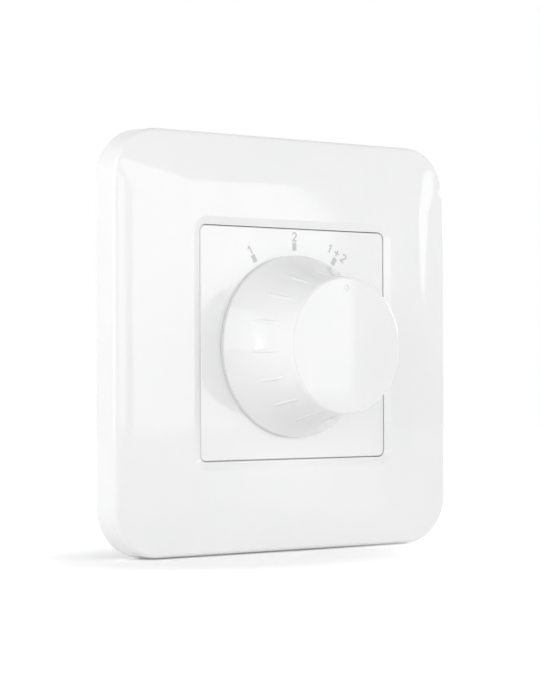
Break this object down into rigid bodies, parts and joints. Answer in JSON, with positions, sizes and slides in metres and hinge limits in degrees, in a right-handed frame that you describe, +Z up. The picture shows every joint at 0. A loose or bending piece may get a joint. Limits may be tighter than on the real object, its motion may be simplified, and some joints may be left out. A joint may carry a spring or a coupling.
{
  "type": "speaker selector switch",
  "caption": "Square flush-mounting wall plate with a large round selector knob that turns a rotary wafer switch, with rows of screw terminals behind.",
  "frame": {"origin": "centre of the box-screw pattern, on the wall's surface, which is the strap's back face", "axes": "+X right and +Z up as one faces the wall, +Y into the wall, so the knob points along -Y"},
  "size_m": [0.0816, 0.0609, 0.0816],
  "materials": {
    "white_gloss": "glossy moulded white",
    "white_plastic": "natural moulded",
    "black_plastic": "moulded",
    "phenolic": "punched laminate",
    "board": "solder mask",
    "terminal_green": "moulded",
    "zinc_steel": "zinc plated",
    "spring_steel": "bright",
    "die_cast": "die cast",
    "nickel_brass": "nickel plated",
    "bare_brass": "bare",
    "silver_plate": "silver plated",
    "tinned_brass": "tinned"
  },
  "bodies": {
    "plate": {"outer_frame": "white_gloss", "insert_plate": "white_gloss", "mounting_strap": "zinc_steel", "index_plate": "zinc_steel", "detent_housing": "black_plastic", "threaded_bush": "nickel_brass", "lock_washer": "zinc_steel", "bush_nut": "nickel_brass", "detent_balls": "spring_steel", "detent_springs": "spring_steel", "front_spacers": "zinc_steel", "middle_spacers": "zinc_steel", "rear_spacers": "zinc_steel", "front_wafer": "phenolic", "rear_wafer": "phenolic", "front_contacts": "silver_plate", "rear_contacts": "silver_plate", "front_rivets": "tinned_brass", "rear_rivets": "tinned_brass", "tie_screws": "zinc_steel", "tie_washers": "spring_steel", "terminal_board": "board", "wire_clamps": "bare_brass", "terminal_screws": "zinc_steel", "front_link_wires": "tinned_brass", "rear_link_wires": "tinned_brass", "input_terminal": "terminal_green", "speaker_one_terminal": "terminal_green", "speaker_two_terminal": "terminal_green"},
    "selector": {"knob": "white_gloss", "knob_spring": "spring_steel", "shaft": "nickel_brass", "shaft_rings": "spring_steel", "star_wheel": "die_cast", "front_rotor": "white_plastic", "rear_rotor": "white_plastic", "front_blades": "silver_plate", "rear_blades": "silver_plate"}
  },
  "joints": [
    {"name": "selector_turn", "type": "hinge", "parent": "plate", "child": "selector", "pos_m": [0, -0.0078, -0.00055], "axis": [0, 1, 0], "range_deg": [-30, 30]}
  ]
}
